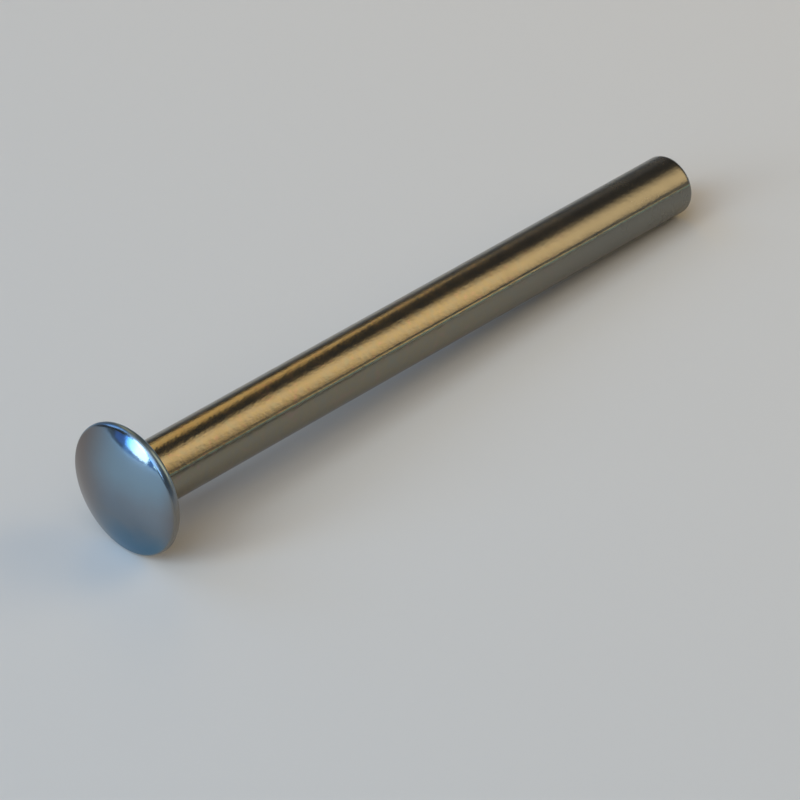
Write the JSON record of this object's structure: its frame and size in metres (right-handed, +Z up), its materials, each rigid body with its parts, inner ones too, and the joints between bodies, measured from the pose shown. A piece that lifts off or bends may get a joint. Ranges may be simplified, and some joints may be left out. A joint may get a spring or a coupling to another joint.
{
  "type": "solid rivet",
  "caption": "Long solid rivet with a low domed head and a plain round shank, bright zinc-plated steel, lying on its head's rim and its tail's edge.",
  "frame": {"origin": "on the floor, under the middle of the lying rivet's length and width", "axes": "+X along the rivet from its head to its tail, with the rivet's own axis dipping 2.69 degrees below it towards the tail; +Z up; +Y to the left seen from behind the head"},
  "size_m": [0.0788, 0.0135, 0.0135],
  "materials": {
    "bright_zinc": "bright zinc plate with a clear passivate over drawn and cold-headed steel, satin, with fine lines along the shank"
  },
  "bodies": {
    "root": {"rivet": "bright_zinc"}
  },
  "joints": []
}
